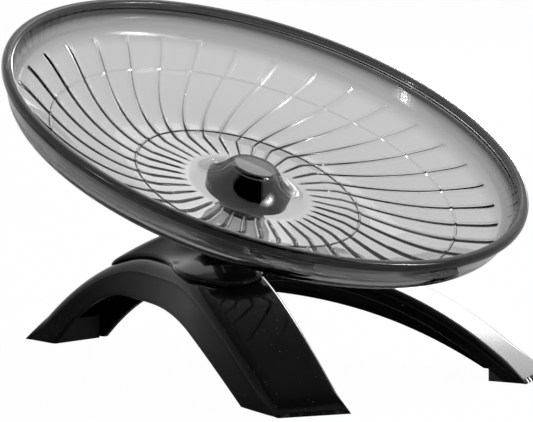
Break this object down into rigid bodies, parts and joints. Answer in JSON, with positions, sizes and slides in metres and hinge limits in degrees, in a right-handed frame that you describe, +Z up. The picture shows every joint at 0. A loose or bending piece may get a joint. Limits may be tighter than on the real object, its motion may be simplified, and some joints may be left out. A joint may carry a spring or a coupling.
{
  "type": "flying saucer wheel",
  "caption": "Tilted clear exercise dish with swirled foot ribs, spinning on ball bearings over a glossy arched three-legged stand.",
  "frame": {"origin": "on the table, under the middle of the whole object's bounding box", "axes": "+Z up; +X towards the low side of the dish, along the stand's plane of symmetry; +Y to the left leg"},
  "size_m": [0.1956, 0.18, 0.1208],
  "materials": {
    "black_plastic": "high gloss moulded black",
    "black_cover": "high gloss moulded black",
    "black_hub": "glossy moulded black",
    "inner_plastic": "plain moulded black",
    "pad_rubber": "soft black rubber",
    "smoked_clear": "clear smoke-grey, polished",
    "axle_steel": "turned steel",
    "screw_steel": "plated steel",
    "bearing_steel": "ground steel",
    "ball_steel": "polished steel balls",
    "shield_steel": "pressed steel",
    "cage_brass": "pressed brass"
  },
  "bodies": {
    "stand": {"tripod_base": "black_plastic", "tilt_cover": "black_cover", "foot_pad_rear": "pad_rubber", "foot_pad_left": "pad_rubber", "foot_pad_right": "pad_rubber", "axle_post": "inner_plastic", "post_screws": "screw_steel", "axle_pin": "axle_steel", "axle_spacer": "axle_steel", "axle_washer": "axle_steel", "axle_screw": "screw_steel", "upper_inner_race": "bearing_steel", "lower_inner_race": "bearing_steel"},
    "dish": {"running_dish": "smoked_clear", "hub_carrier": "black_hub", "retainer_ring": "black_hub", "upper_outer_race": "bearing_steel", "upper_upper_shield": "shield_steel", "upper_lower_shield": "shield_steel", "lower_outer_race": "bearing_steel", "lower_upper_shield": "shield_steel", "lower_lower_shield": "shield_steel"},
    "upper_ball_set": {"upper_cage": "cage_brass", "upper_balls": "ball_steel"},
    "lower_ball_set": {"lower_cage": "cage_brass", "lower_balls": "ball_steel"}
  },
  "joints": [
    {"name": "dish_spin", "type": "hinge", "parent": "stand", "child": "dish", "pos_m": [0.00555, 0, 0.05844], "axis": [0.4305, 0, 0.9026], "continuous": true},
    {"name": "upper_cage_spin", "type": "hinge", "parent": "stand", "child": "upper_ball_set", "pos_m": [0.00654, 0, 0.06051], "axis": [0.4305, 0, 0.9026], "continuous": true},
    {"name": "lower_cage_spin", "type": "hinge", "parent": "stand", "child": "lower_ball_set", "pos_m": [0.00223, 0, 0.05149], "axis": [0.4305, 0, 0.9026], "continuous": true}
  ],
  "couplings": [
    {"joint": "upper_cage_spin", "follows": "dish_spin", "ratio": 0.62632},
    {"joint": "lower_cage_spin", "follows": "dish_spin", "ratio": 0.62632}
  ]
}
